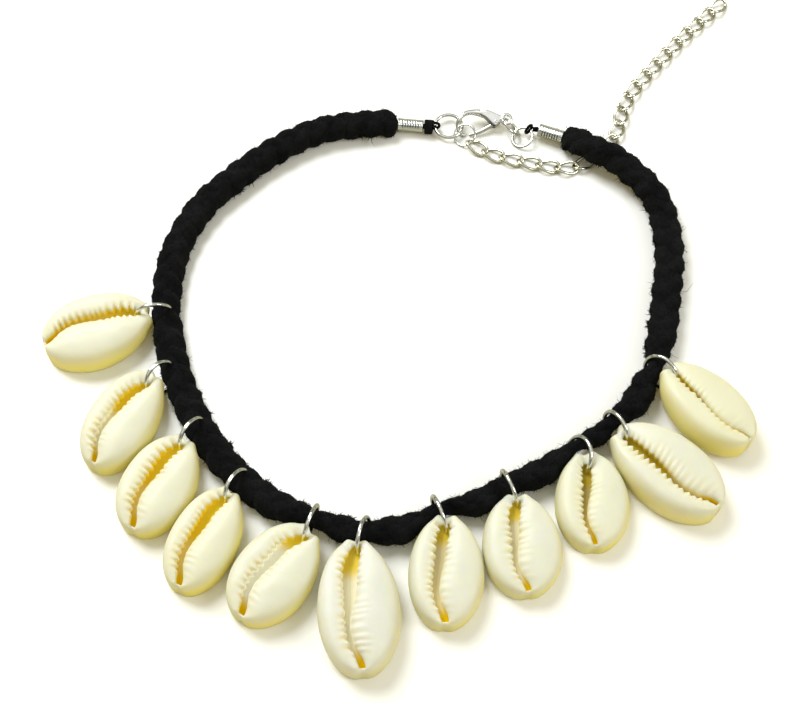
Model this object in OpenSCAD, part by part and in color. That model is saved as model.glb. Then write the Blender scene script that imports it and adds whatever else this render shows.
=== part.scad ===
// Choker of eleven cowrie shells on a braided cord, lying flat with its clasp shut.
// Millimetres. +X is to the right, +Y away from the wearer's throat, +Z up, and the table is at z = 0.

/* [Braided cord] */
// Width of the plaited cord as it lies
cord_w = 6.2; // [6:0.1:6.4]
// Height of the plaited cord as it lies
cord_h = 5; // [4.8:0.1:5.2]
// Length of cord in which each of its three strands comes round once
plait_pitch = 13.2; // [11:0.2:16]
// Radius of the thin tail inside each sleeve
cord_tail_r = 0.95; // [0.8:0.05:1]

/* [Shells] */
// Height of a shell as a share of its length
shell_rise = 0.3; // [0.28:0.01:0.32]
// Wall thickness of a shell
shell_wall = 1.3; // [1:0.1:1.5]
// Depth of the teeth along the narrow lip
tooth_depth = 0.5; // [0.2:0.1:0.6]

/* [Shell rings] */
// Outside diameter of a shell's ring
ring_d = 8; // [7.9:0.1:8.2]
// Wire of a shell's ring
ring_wire = 0.8; // [0.7:0.05:0.8]

/* [Cord ends] */
// Length of a sleeve
sleeve_len = 5.6; // [5.4:0.1:5.8]
// Outside diameter of a sleeve
sleeve_d = 2.9; // [2.8:0.1:3.2]
// Number of coils that show on a sleeve
sleeve_coils = 8; // [6:1:10]

/* [Clasp] */
// Outside diameter of the large ring
clasp_ring_d = 6.7; // [6.6:0.1:6.8]
// Wire of the large ring
clasp_ring_wire = 0.7; // [0.6:0.05:0.7]
// Outside diameter of a jump ring beside the clasp
link_d = 5.2; // [5.1:0.1:5.3]
// Wire of a jump ring beside the clasp
link_wire = 0.6; // [0.5:0.05:0.6]
// Diameter of the lever's pin
pin_d = 0.8; // [0.7:0.05:0.9]

/* [Extender chain] */
// Number of curb links
link_count = 21; // [19:1:21]
// Distance from link to link
link_pitch = 4.1; // [4.05:0.05:4.1]
// Wire of a curb link
chain_wire = 0.62; // [0.55:0.01:0.65]

/* [Hidden] */

// The places below are laid out round the middle of the neck, and this shift puts the origin
// under the middle of the whole outline
set_out = [-2.5, -13.6, 0];

// Route of the cord's middle line, from inside the left sleeve round the front to the right sleeve
CORD_ROUTE = [
    [1.8, 56.7, 1.8], [-0.2, 56.9, 1.8], [-6, 56.7, 2.4], [-17.6, 54.6, 2.5], [-27.7, 48.8, 2.5],
    [-35.6, 41.8, 2.5], [-42.4, 34, 2.5], [-46.9, 23.5, 2.5], [-48, 11.5, 2.5], [-46.1, -0.7, 2.5],
    [-42.3, -11.4, 2.5], [-36.1, -22.3, 2.5], [-27.8, -31.1, 2.5], [-18, -36.9, 2.5], [-7.5, -39.7, 2.5],
    [4, -38.4, 2.5], [15.6, -33.7, 2.5], [27, -27.8, 2.5], [37.2, -21.8, 2.5], [46.3, -13.4, 2.5],
    [52.2, -1.5, 2.5], [55.1, 11.5, 2.5], [56.9, 24.8, 2.5], [55, 36.9, 2.8], [48.2, 44.8, 3.9],
    [42.5, 48.4, 4.3], [38.1, 52.4, 2.5], [36.2, 53.2, 2.1], [34.2, 53.97, 2.1]
];

// One row a shell, left to right: x and y of its ring end, heading of its tail in degrees, length,
// width, roll about its length, distance from its ring end to its slit, sideways place of that end of
// the slit, and how wide the slit is beside a common one
SHELLS = [
    [-51, 7.9, 201, 22.3, 15.8, 0, 1.8, 0.45, 0.6],
    [-49.3, -6.2, 244, 22.6, 13.5, 0, 2.8, 1.45, 0.9],
    [-42, -20.4, 246, 21, 14.3, 0, 1.7, 1, 1],
    [-32.6, -31.3, 247, 21.4, 13, 0, 1.7, 0.9, 1],
    [-17.4, -38.85, 236, 21.3, 15, 0, 1.8, 1.65, 1],
    [-8.7, -42, 274.8, 25.1, 15.4, 0, 1.3, 0.8, 1.1],
    [8.8, -36.8, 268.5, 21.4, 14.2, 0, 1.8, 0.1, 1],
    [21.8, -32.5, 275.8, 19.7, 15, 0, 1.4, 0.55, 1],
    [36.6, -23.6, 270, 19.5, 14.3, 0, 2.7, -0.75, 0.9],
    [42.3, -19.3, 318.5, 24.6, 15.2, 0, 2, -0.5, 0.8],
    [52.7, -6.4, 313, 21.9, 14.1, -8, 1.5, 0.3, 0.6]
];

// One row a shell's ring: x and y of its middle, heading, lean about that heading, and how far the
// shell's outside lies from the ring's middle
RINGS = [
    [-50.2, 7.6, 12, 6.7, -0.7],
    [-47.5, -7.45, 51, -20, 0.1],
    [-40.4, -19.9, 57, -9, -1.1],
    [-31, -30.9, 60, -14, -1.1],
    [-16.7, -38.2, 69, 2.6, -0.6],
    [-6.7, -40.8, 75, -9, -1.3],
    [7.6, -36.4, 111, 0, -0.4],
    [21.1, -31.1, 112, -4, -1.4],
    [34.8, -24, 104, 31, 0.5],
    [42.3, -18.6, 119, 11, -0.3],
    [52.2, -6.1, 137, 20.5, -0.5]
];

// Slit of a common shell: share of the length, and its middle and half width as shares of the length
SLIT_MIDDLE = [
    [0, -0.02], [0.2, -0.035], [0.4, -0.045], [0.6, -0.075], [0.7, -0.08], [0.8, -0.06],
    [0.9, -0.01], [1, 0.02]
];
SLIT_HALF = [
    [0, 0.03], [0.1, 0.045], [0.2, 0.056], [0.4, 0.045], [0.55, 0.028], [0.7, 0.024],
    [0.9, 0.03], [1, 0.03]
];

// Extender chain's middle line, from its first link beside the clasp to its loose end
CHAIN_ROUTE = [
    [15.1, 53.2, 1.1], [16.1, 52.3, 1], [17.9, 50.9, 0.9], [21.5, 49.1, 0.85], [25.4, 47.9, 0.85],
    [29.3, 47, 0.85], [33.4, 46.1, 0.85], [37.7, 45.9, 0.85], [42.3, 48, 0.85], [46.4, 52, 0.85],
    [49, 57.2, 0.85], [50.3, 62, 0.85], [53, 67.3, 0.85], [58.6, 74.4, 0.85], [65.4, 82.4, 0.85],
    [72.4, 89.6, 0.85], [80.6, 97.4, 0.85], [88, 104.5, 0.85]
];

// The clasp's own places are measured from its pin, in its own plane: the middle line and radius of
// its body, from the tip of the hook round to the tail
CLASP_ROUTE = [
    [-6.75, -2.75, -0.25, 0.26], [-7.3, -2.8, -0.3, 0.34], [-8, -2.25, -0.5, 0.4], [-8.4, -1, -0.25, 0.44],
    [-8.2, 0.4, 0.35, 0.48], [-7.4, 1.5, 0.4, 0.5], [-6.3, 2.1, 0.2, 0.55], [-4.9, 2.3, 0, 0.65],
    [-3.3, 2.1, 0, 0.85], [-1.8, 1.7, 0, 0.95], [-0.3, 1.2, 0, 0.85], [1.3, 0.85, 0, 0.5]
];

// Middle line and radius of the lever, from the pin to its tip
LEVER_ROUTE = [
    [-0.3, -0.2, 0, 0.5], [-1.7, -1.1, 0, 0.52], [-3.4, -2, 0, 0.5], [-4.9, -2.5, -0.1, 0.4],
    [-6, -2.75, -0.2, 0.3]
];

// Cord
cord_sides = 8;
cord_step = 1.25;
strand_r = 0.27 * cord_w;
plait_across = cord_w / 2 - strand_r;
plait_up = cord_h / 2 - strand_r;
tail_len = 2.2;
tail_blend = 2.8;
inner_reach = 2.4;
outer_reach = 5.8;
pinch_reach = 2.6;
neck_z = 3.6;
neck_half_h = 1.8;
neck_play = 0.3;
neck_inwards = 0.9;

// Shells
shell_stations = 36;
station_crowding = 14;
narrow_lip_side = 0.96;
broad_lip_side = 1.04;
tail_fullness = 0.06;
tip_at = 15;
tip_width = 7;
notch_width = 6;
slit_end = 0.95;
ring_end_share = 0.25;
slit_roundness = 0.4;
thin_wall_share = 0.4;
rim_arch = 2.6;
end_droop = 0.22;
ring_room = 0.3;
notch_depth = 0.4;
tip_reach = 0.5;

// Rings
ring_r = (ring_d - ring_wire) / 2;
ring_inner = ring_r - ring_wire / 2;
ring_lift = 0.03;

// Cord ends
sleeve_wall = 0.38;
sleeve_band = 0.5;
coil_wire = 0.48;
coil_sink = 0.18;
left_end = [-0.2, 56.9, 1.8];
left_heading = -5.7;
right_end = [36.2, 53.2, 2.1];
right_heading = 159;
loop_r = 1;
loop_wire = 0.8;
left_loop = [7.95, 56.9, 1.44];
left_loop_turn = 0;
right_loop = [28.75, 55.35, 2.2];
right_loop_turn = 46;
stem_r = 0.6;
stem_bend_r = 0.62;
stem_in_sleeve = 1.6;
mouth_room = 0.2;
knot_d = 3.3;
knot_len = 1.8;
knot_near_round = 0.5;
knot_far_round = 0.6;

// Clasp
clasp_ring_at = [11.05, 56.8, 1.35];
clasp_ring_tilt = 3;
pivot = [21.5, 57.5, 1.75];
clasp_tilt = 23;
eye_at = [2.35, 0.75, 0];
eye_r = 1.05;
eye_wire = 0.8;
cheek_d = 2.2;
cheek_root = [-0.3, 1.1, 0];
slot_d = 2;
cheek_gap = 1.3;
cheek_t = 0.45;
lever_eye_d = 1.6;
lever_eye_t = 1.1;
pin_play = 0.06;
pin_fit = 0.02;
pin_proud = 0.05;
link_1_at = [24.82, 56.1, 2.1];
link_1_lean = 40;
link_2_at = [27.32, 53.8, 1.3];
link_2_lean = -65;
link_heading = -65;
extender_ring_r = 2.4;
extender_ring_wire = 0.45;
extender_ring_at = [14.56, 54.24, 1.5];
extender_ring_turn = [30, 0, -46.4];

// Chain
chain_start = 2.8;
chain_half_len = 2.55;
chain_half_w = 1.4;
chain_saddle = 0.5;
link_stations = 12;
wire_sides = 5;

function smooth(t) = let (u = max(0, min(1, t))) u * u * (3 - 2 * u);
function bell(d, reach) = exp(-(d / reach) * (d / reach));
function heading(a) = [cos(a), sin(a), 0];
function flat(v) = [v[0], v[1], 0];
function unit(v) = v / norm(v);

// Smooth curve through rows of numbers, a few steps a stretch
function curve_point(rows, i, t) =
    let (
        last = len(rows) - 1,
        a = rows[max(i - 1, 0)],
        b = rows[i],
        c = rows[min(i + 1, last)],
        d = rows[min(i + 2, last)]
    )
    0.5 * (2 * b + (c - a) * t + (2 * a - 5 * b + 4 * c - d) * t * t + (3 * b - a - 3 * c + d) * t * t * t);
function curve(rows, steps) = concat(
    [for (i = [0 : len(rows) - 2], k = [0 : steps - 1]) curve_point(rows, i, k / steps)],
    [rows[len(rows) - 1]]
);
function run_lengths(pts) = [
    for (i = 0, d = 0; i < len(pts); d = d + (i + 1 < len(pts) ? norm(pts[i + 1] - pts[i]) : 0), i = i + 1) d
];
function by_length(pts) =
    let (d = run_lengths(pts))
    [for (j = [0 : 2]) [for (i = [0 : len(pts) - 1]) [d[i], pts[i][j]]]];
function along(table, s) = [for (j = [0 : 2]) lookup(s, table[j])];
function heading_along(table, s) = unit(along(table, s + 0.4) - along(table, s - 0.4));

// Triangles of a grid of points, rounds by sides, with open or joined ends
function grid_faces(rounds, sides, joined) = [
    for (i = [0 : rounds - (joined ? 1 : 2)], j = [0 : sides - 1])
        let (
            a = i * sides + j,
            b = i * sides + (j + 1) % sides,
            c = ((i + 1) % rounds) * sides + (j + 1) % sides,
            d = ((i + 1) % rounds) * sides + j
        )
        each [[a, c, b], [a, d, c]]
];
function end_faces(rounds, sides) = [
    [for (j = [0 : sides - 1]) j],
    [for (j = [sides - 1 : -1 : 0]) (rounds - 1) * sides + j]
];

// Round bar that follows rows of x, y, z and radius
module tapered_bar(rows, steps, sides) {
    pts = curve(rows, steps);
    last = len(pts) - 1;
    points = [
        for (i = [0 : last])
            let (
                p = [pts[i][0], pts[i][1], pts[i][2]],
                q = pts[min(i + 1, last)] - pts[max(i - 1, 0)],
                t = unit([q[0], q[1], q[2]]),
                across = unit(cross([0, 0, 1], t)),
                up = cross(t, across)
            )
            for (j = [0 : sides - 1])
                p + pts[i][3] * (cos(360 * j / sides) * across + sin(360 * j / sides) * up)
    ];
    polyhedron(points, concat(grid_faces(last + 1, sides, false), end_faces(last + 1, sides)));
}

module wire_ring(r, wire) {
    rotate_extrude($fn = 48) translate([r, 0]) circle(d = wire, $fn = 24);
}

cord_table = by_length(curve(CORD_ROUTE, 8));
cord_len = cord_table[0][len(cord_table[0]) - 1][0];
cord_stations = floor(cord_len / cord_step);
function cord_s(i) = cord_len * i / cord_stations;
function inward(s) = let (t = heading_along(cord_table, s)) unit([-t[1], t[0], 0]);

// Place along the cord that is nearest to a point
function nearest_s(target) =
    let (gaps = [for (i = [0 : cord_stations]) norm(flat(along(cord_table, cord_s(i)) - target))])
    cord_s(search(min(gaps), gaps)[0]);

// Each ring leaves the cord the room between the shell's outside and the ring's far side. A row holds
// the place along the cord and the sideways limit of the cord's inner edge, of its outer edge, and the
// ring's own place
function edge_limit(p) = let (s = nearest_s(p)) [s, inward(s) * flat(p - along(cord_table, s))];
necks = [
    for (row = RINGS)
        let (middle = flat(row), n = heading(row[2]))
        [
            edge_limit(middle + (ring_inner - neck_play) * n),
            edge_limit(middle + (row[4] + neck_play) * n),
            nearest_s(middle + neck_inwards * n)
        ]
];

// Outline of the three strands together, seen along the cord
function strand_middle(s, k) =
    let (a = 360 * s / plait_pitch + 120 * k)
    [plait_across * sin(a), plait_up * sin(2 * a)];
function plait_radius(s, a) =
    let (u = [cos(a), sin(a)])
    max([
        for (k = [0 : 2])
            let (c = strand_middle(s, k), d = c * u)
            d + sqrt(strand_r * strand_r - c * c + d * d)
    ]);

module braided_cord() color([0.06, 0.06, 0.06]) translate(set_out) {
    half = cord_w / 2;
    points = [
        for (i = [0 : cord_stations])
            let (
                s = cord_s(i),
                inner = min([for (n = necks) half + bell(s - n[0][0], inner_reach) * (n[0][1] - half)]),
                outer = max([for (n = necks) -half + bell(s - n[1][0], outer_reach) * (n[1][1] + half)]),
                pinch = max([for (n = necks) bell(s - n[2], pinch_reach)]),
                middle = [0, 0, pinch * (neck_z - cord_h / 2)] + (inner + outer) / 2 * inward(s),
                wide = (inner - outer) / cord_w,
                high = 1 - pinch * (1 - 2 * neck_half_h / cord_h),
                full = smooth((min(s, cord_len - s) - tail_len) / tail_blend)
            )
            for (j = [0 : cord_sides - 1])
                let (a = 360 * j / cord_sides, r = full * plait_radius(s, a) + (1 - full) * cord_tail_r)
                along(cord_table, s) + middle + r * (wide * cos(a) * inward(s) + high * sin(a) * [0, 0, 1])
    ];
    rounds = cord_stations + 1;
    polyhedron(points, concat(grid_faces(rounds, cord_sides, false), end_faces(rounds, cord_sides)));
}

// A shell's section from slit to rim and back inside: share of the way out from the slit, share of
// the height, and whether the wall's thickness is taken off the first
SHELL_SECTION = [
    [0.9, 0, false], [1, 0.42, false], [0.93, 0.74, false], [0.72, 0.95, false], [0.4, 1, false],
    [0, 0.86, false], [0, 0.62, false], [0.42, 0.78, false], [1, 0.42, true], [0.9, 0, true]
];

// The side of a shell where its ring hangs, as an angle round the outline
function ring_side(row) = asin(2 * row[7] / row[4]);
function shell_outer(row, a) =
    let (
        side = (a > 180 ? a - 360 : a),
        off = abs(side - ring_side(row)),
        half = row[4] / 2 * (side > 0 ? broad_lip_side : narrow_lip_side)
    )
    [
        row[3] / 2 * (1 - cos(a)) - tip_reach * bell(off - tip_at, tip_width)
            + notch_depth * bell(off, notch_width),
        half * sin(a) * (1 - tail_fullness * cos(a))
    ];
function shell_slit(row, a, tooth) =
    let (
        from = row[6],
        x = from + (slit_end * row[3] - from) * (1 - cos(a)) / 2,
        share = x / row[3],
        to_ring = pow(max(0, 1 - (x - from) / (ring_end_share * row[3])), 2),
        middle = row[3] * lookup(share, SLIT_MIDDLE),
        room = row[8] * row[3] * lookup(share, SLIT_HALF) + to_ring * ring_room,
        half = room * pow(abs(sin(a)), slit_roundness) - tooth * abs(sin(a))
    )
    [x, middle + to_ring * (row[7] - middle) + (sin(a) < 0 ? -half : half)];

module shell(i) color([0.95, 0.94, 0.84]) translate(set_out) {
    row = SHELLS[i];
    high = shell_rise * row[3];
    tilt_lift = 0.49 * row[4] * sin(abs(row[5]));
    points = [
        for (k = [0 : shell_stations - 1])
            let (
                a = 360 * k / shell_stations - station_crowding * sin(360 * k / shell_stations),
                out = shell_outer(row, a),
                in = shell_slit(row, a, sin(a) < 0 && k % 2 == 0 ? row[8] * tooth_depth : 0),
                w = norm(out - in),
                wall = min(shell_wall, thin_wall_share * w) / w,
                base = rim_arch * max(0, pow(abs(cos((a - ring_side(row)) / 2)), 6) - 0.1),
                top = high * (1 - end_droop * pow(abs(cos(a)), 3))
            )
            for (q = SHELL_SECTION)
                let (p = in + (out - in) * (q[0] - (q[2] ? wall : 0)))
                [p[0], p[1], base + (top - base) * q[1]]
    ];
    translate([row[0], row[1], tilt_lift]) rotate([0, 0, row[2]]) rotate([row[5], 0, 0])
        polyhedron(points, grid_faces(shell_stations, len(SHELL_SECTION), true));
}

module shell_ring(i) color("silver") translate(set_out) {
    row = RINGS[i];
    up = ring_r * cos(row[3]) + ring_wire / 2 + ring_lift;
    translate([row[0], row[1], up]) rotate([0, 0, row[2]]) rotate([row[3] + 90, 0, 0])
        wire_ring(ring_r, ring_wire);
}

// Sleeve along +X from the origin, its bore open at both ends
module sleeve() {
    rib_r = sleeve_d / 2;
    bore_r = rib_r - sleeve_wall;
    coil_w = (sleeve_len - 2 * sleeve_band) / sleeve_coils;
    rotate([0, 90, 0]) difference() {
        union() {
            cylinder(r = rib_r, h = sleeve_band, $fn = 32);
            translate([0, 0, sleeve_len - sleeve_band]) cylinder(r = rib_r, h = sleeve_band, $fn = 32);
            cylinder(r = rib_r - coil_sink, h = sleeve_len, $fn = 32);
            for (k = [0 : sleeve_coils - 1]) translate([0, 0, sleeve_band + (k + 0.5) * coil_w])
                rotate_extrude($fn = 32) translate([rib_r - coil_wire / 2, 0])
                    circle(d = coil_wire, $fn = 16);
        }
        translate([0, 0, -1]) cylinder(r = bore_r, h = sleeve_len + 2, $fn = 32);
    }
}
module cord_end_left() color("silver")
    translate(set_out + left_end) rotate([0, 0, left_heading]) sleeve();
module cord_end_right() color("silver")
    translate(set_out + right_end) rotate([0, 0, right_heading]) sleeve();

// Loop of thin cord whose stem runs back into a sleeve
module end_loop(middle, turn, mouth, sleeve_heading) {
    stem = mouth - middle;
    reach = norm(stem);
    translate(middle) {
        rotate([90, 0, turn]) wire_ring(loop_r, loop_wire);
        rotate([0, -asin(stem[2] / reach), atan2(stem[1], stem[0])]) rotate([0, 90, 0])
            translate([0, 0, loop_r - 0.1]) cylinder(r = stem_r, h = reach - loop_r + 0.1, $fn = 24);
    }
    translate(mouth) rotate([0, 0, sleeve_heading]) rotate([0, -90, 0]) {
        sphere(r = stem_bend_r, $fn = 24);
        cylinder(r = stem_r, h = stem_in_sleeve, $fn = 24);
    }
}
left_mouth = left_end + (sleeve_len + mouth_room) * heading(left_heading);
right_mouth = right_end + (sleeve_len + mouth_room) * heading(right_heading);

// Knot that fills the space between the left sleeve and the large ring
module knot() rotate([0, 90, 0]) rotate_extrude($fn = 32) hull() {
    knot_r = knot_d / 2;
    square([knot_r - knot_near_round, knot_len]);
    translate([knot_r - knot_near_round, knot_near_round]) circle(r = knot_near_round, $fn = 24);
    translate([knot_r - knot_far_round, knot_len - knot_far_round]) circle(r = knot_far_round, $fn = 24);
}
module end_loop_left() color([0.08, 0.08, 0.08]) translate(set_out) {
    end_loop(left_loop, left_loop_turn, left_mouth, left_heading);
    translate(left_mouth) rotate([0, 0, left_heading]) knot();
}
module end_loop_right() color([0.08, 0.08, 0.08]) translate(set_out)
    end_loop(right_loop, right_loop_turn, right_mouth, right_heading);

module clasp_ring() color("silver") translate(set_out + clasp_ring_at) rotate([clasp_ring_tilt, 0, 0])
    wire_ring((clasp_ring_d - clasp_ring_wire) / 2, clasp_ring_wire);

module on_clasp() translate(set_out + pivot) rotate([clasp_tilt, 0, 0]) children();
module clasp_body() color("silver") on_clasp() {
    difference() {
        tapered_bar(CLASP_ROUTE, 3, 8);
        cylinder(d = slot_d, h = cheek_gap, center = true, $fn = 32);
    }
    for (side = [-1, 1]) difference() {
        hull() for (p = [[0, 0, 0], cheek_root])
            translate(p + [0, 0, side * (cheek_gap + cheek_t) / 2])
                cylinder(d = cheek_d, h = cheek_t, center = true, $fn = 32);
        cylinder(d = pin_d + 2 * pin_fit, h = 8, center = true, $fn = 32);
    }
    translate(eye_at) wire_ring(eye_r, eye_wire);
}
module clasp_lever() color("silver") on_clasp() {
    difference() {
        union() {
            cylinder(d = lever_eye_d, h = lever_eye_t, center = true, $fn = 32);
            tapered_bar(LEVER_ROUTE, 3, 8);
        }
        cylinder(d = pin_d + 2 * pin_play, h = 4, center = true, $fn = 32);
    }
}
module clasp_pin() color("silver") on_clasp() {
    cylinder(d = pin_d, h = cheek_gap + 2 * (cheek_t + pin_proud), center = true, $fn = 32);
}

module jump_ring(middle, lean) color("silver") translate(set_out + middle)
    rotate([0, 0, link_heading]) rotate([90 + lean, 0, 0])
        wire_ring((link_d - link_wire) / 2, link_wire);
module extender_ring() color("silver") translate(set_out + extender_ring_at)
    rotate(extender_ring_turn) wire_ring(extender_ring_r, extender_ring_wire);

// A curb link lies flat and twists, so that each end is over its neighbour on one side and under it
// on the other
function link_point(t) = [chain_half_len * cos(t), chain_half_w * sin(t), chain_saddle * sin(2 * t)];
function link_slope(t) =
    unit([-chain_half_len * sin(t), chain_half_w * cos(t), 2 * chain_saddle * cos(2 * t)]);
module curb_link() {
    points = [
        for (i = [0 : link_stations - 1])
            let (
                t = 360 * i / link_stations,
                along = link_slope(t),
                across = unit(cross(along, [0, 0, 1])),
                up = cross(across, along)
            )
            for (j = [0 : wire_sides - 1])
                let (b = 360 * j / wire_sides)
                link_point(t) + chain_wire / 2 * (cos(b) * across + sin(b) * up)
    ];
    polyhedron(points, [for (f = grid_faces(link_stations, wire_sides, true)) [f[0], f[2], f[1]]]);
}
chain_table = by_length(curve(CHAIN_ROUTE, 6));
module extender_chain() color("silver") translate(set_out) {
    for (k = [0 : link_count - 1]) {
        s = chain_start + k * link_pitch;
        t = heading_along(chain_table, s);
        translate(along(chain_table, s)) rotate([0, -asin(t[2]), atan2(t[1], t[0])]) curb_link();
    }
}

braided_cord();
shell(0);  // shell_01
shell(1);  // shell_02
shell(2);  // shell_03
shell(3);  // shell_04
shell(4);  // shell_05
shell(5);  // shell_06
shell(6);  // shell_07
shell(7);  // shell_08
shell(8);  // shell_09
shell(9);  // shell_10
shell(10);  // shell_11
shell_ring(0);  // shell_ring_01
shell_ring(1);  // shell_ring_02
shell_ring(2);  // shell_ring_03
shell_ring(3);  // shell_ring_04
shell_ring(4);  // shell_ring_05
shell_ring(5);  // shell_ring_06
shell_ring(6);  // shell_ring_07
shell_ring(7);  // shell_ring_08
shell_ring(8);  // shell_ring_09
shell_ring(9);  // shell_ring_10
shell_ring(10);  // shell_ring_11
cord_end_left();
cord_end_right();
end_loop_left();
end_loop_right();
clasp_ring();
clasp_body();
clasp_lever();
clasp_pin();
jump_ring(link_1_at, link_1_lean);  // clasp_link_1
jump_ring(link_2_at, link_2_lean);  // clasp_link_2
extender_ring();
extender_chain();
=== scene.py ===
"""Looks of a cowrie shell choker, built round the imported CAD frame.

Lengths in the tables are millimetres in the CAD's layout; SET_OUT moves them to the frame's own
origin, and every mesh is made in metres. The sizes that a user sets are in metres too.
"""

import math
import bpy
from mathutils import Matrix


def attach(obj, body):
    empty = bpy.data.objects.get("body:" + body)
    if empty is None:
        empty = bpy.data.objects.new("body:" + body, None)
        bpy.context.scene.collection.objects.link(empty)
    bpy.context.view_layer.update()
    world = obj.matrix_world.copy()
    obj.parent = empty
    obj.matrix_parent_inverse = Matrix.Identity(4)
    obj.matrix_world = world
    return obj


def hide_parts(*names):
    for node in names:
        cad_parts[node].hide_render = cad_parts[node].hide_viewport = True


bl_info = {
    "name": "Cowrie Shell Choker",
    "version": (1, 0, 0),
    "blender": (4, 5, 0),
    "location": "View3D > Sidebar > Choker",
    "description": "Detailed shells, plaited cord and silver findings for a cowrie shell choker",
    "category": "Object",
}

import bpy
import numpy as np
from bpy.props import FloatProperty, FloatVectorProperty, IntProperty, PointerProperty

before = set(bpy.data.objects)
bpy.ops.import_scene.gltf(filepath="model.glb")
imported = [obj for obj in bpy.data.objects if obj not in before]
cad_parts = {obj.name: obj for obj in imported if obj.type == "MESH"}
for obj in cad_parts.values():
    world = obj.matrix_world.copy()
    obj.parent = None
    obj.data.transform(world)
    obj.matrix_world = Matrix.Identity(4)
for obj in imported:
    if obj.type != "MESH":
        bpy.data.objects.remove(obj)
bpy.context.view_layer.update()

MM = 0.001
SET_OUT = np.array([-2.5, -13.6, 0.0])
BODY = "choker"
LEVER = "lever"

# -------- layout

CORD_ROUTE = [
    [1.8, 56.7, 1.8], [-0.2, 56.9, 1.8], [-6, 56.7, 2.4], [-17.6, 54.6, 2.5], [-27.7, 48.8, 2.5],
    [-35.6, 41.8, 2.5], [-42.4, 34, 2.5], [-46.9, 23.5, 2.5], [-48, 11.5, 2.5], [-46.1, -0.7, 2.5],
    [-42.3, -11.4, 2.5], [-36.1, -22.3, 2.5], [-27.8, -31.1, 2.5], [-18, -36.9, 2.5], [-7.5, -39.7, 2.5],
    [4, -38.4, 2.5], [15.6, -33.7, 2.5], [27, -27.8, 2.5], [37.2, -21.8, 2.5], [46.3, -13.4, 2.5],
    [52.2, -1.5, 2.5], [55.1, 11.5, 2.5], [56.9, 24.8, 2.5], [55, 36.9, 2.8], [48.2, 44.8, 3.9],
    [42.5, 48.4, 4.3], [38.1, 52.4, 2.5], [36.2, 53.2, 2.1], [34.2, 53.97, 2.1],
]

# One row a shell: x, y of its ring end, heading of its tail, length, width, roll, distance from the
# ring end to the slit, sideways place of that end of the slit, openness of the slit
SHELLS = [
    [-51, 7.9, 201, 22.3, 15.8, 0, 1.8, 0.45, 0.78],
    [-49.3, -6.2, 244, 22.6, 13.5, 0, 2.8, 1.45, 0.9],
    [-42, -20.4, 246, 21, 14.3, 0, 1.7, 1, 1],
    [-32.6, -31.3, 247, 21.4, 13, 0, 1.7, 0.9, 1],
    [-17.4, -38.85, 236, 21.3, 15, 0, 1.8, 1.65, 1],
    [-8.7, -42, 274.8, 25.1, 15.4, 0, 1.3, 0.8, 1.1],
    [8.8, -36.8, 268.5, 21.4, 14.2, 0, 1.8, 0.1, 1],
    [21.8, -32.5, 275.8, 19.7, 15, 0, 1.4, 0.55, 1],
    [36.6, -23.6, 270, 19.5, 14.3, 0, 2.7, -0.75, 0.9],
    [42.3, -19.3, 318.5, 24.6, 15.2, 0, 2, -0.5, 0.62],
    [52.7, -6.4, 313, 21.9, 14.1, -8, 1.5, 0.3, 0.32],
]
# One row a shell: how strongly its broad lip is folded, how yellow it is, number of teeth, how much its
# slit narrows towards the tail, how much of the pale table shows through it, from which share of its
# length, and how much painted shade darkens the slit's ring end
SHELL_LOOKS = [
    [0.35, 0.5, 15, 0, 0.1, 0.3, 0.1], [0.3, 0.5, 15, 0.25, 0.8, 0.42, 0],
    [0.45, 0.55, 14, 0.1, 0.3, 0.5, 0], [0.5, 0.6, 15, 0.1, 0.3, 0.5, 0],
    [0.55, 0.45, 14, 0, 0.95, 0.2, 0], [0.8, 0.1, 16, 0.45, 0.8, 0.2, 0.12],
    [0.5, 0.35, 14, 0, 0.6, 0.2, 0.32], [0.55, 0.35, 13, 0.2, 0.7, 0.2, 0.25],
    [0.45, 0.55, 13, 0.25, 0.3, 0.3, 0.62], [1.0, 0.4, 16, 0.2, 0.4, 0.5, 0.45],
    [0.4, 0.75, 15, 0.7, 0.5, 0.3, 0.4],
]
# Share of a shell's length, and the slit's middle line and half width there as shares of the length
SLIT_MIDDLE = np.array([[0, -0.02], [0.2, -0.035], [0.4, -0.045], [0.6, -0.075], [0.7, -0.08],
                        [0.8, -0.06], [0.9, -0.01], [1, 0.02]])
SLIT_HALF = np.array([[0, 0.03], [0.1, 0.05], [0.2, 0.06], [0.4, 0.051], [0.55, 0.041],
                      [0.7, 0.035], [0.84, 0.034], [0.92, 0.038], [1, 0.039]])
# Section of a shell from the slit's edge over the lip to the cut rim, and back inside along the wall:
# share outwards, share of the height, share of the wall's thickness taken off
OVER_LIP = [[0, 0.7, 0], [-0.012, 0.8, 0], [0, 0.885, 0], [0.05, 0.945, 0], [0.18, 0.985, 0], [0.4, 1.0, 0],
            [0.6, 0.985, 0], [0.76, 0.93, 0], [0.88, 0.83, 0], [0.96, 0.66, 0], [1.0, 0.42, 0],
            [0.975, 0.18, 0], [0.92, 0.015, 0]]
BACK_IN = [[0.905, 0, 0.15], [0.9, 0, 0.95], [0.95, 0.15, 1], [0.985, 0.42, 1], [0.9, 0.62, 1],
           [0.7, 0.74, 0.9], [0.42, 0.78, 0.5], [0.16, 0.71, 0.1], [0.03, 0.645, 0], [0, 0.66, 0]]
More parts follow.
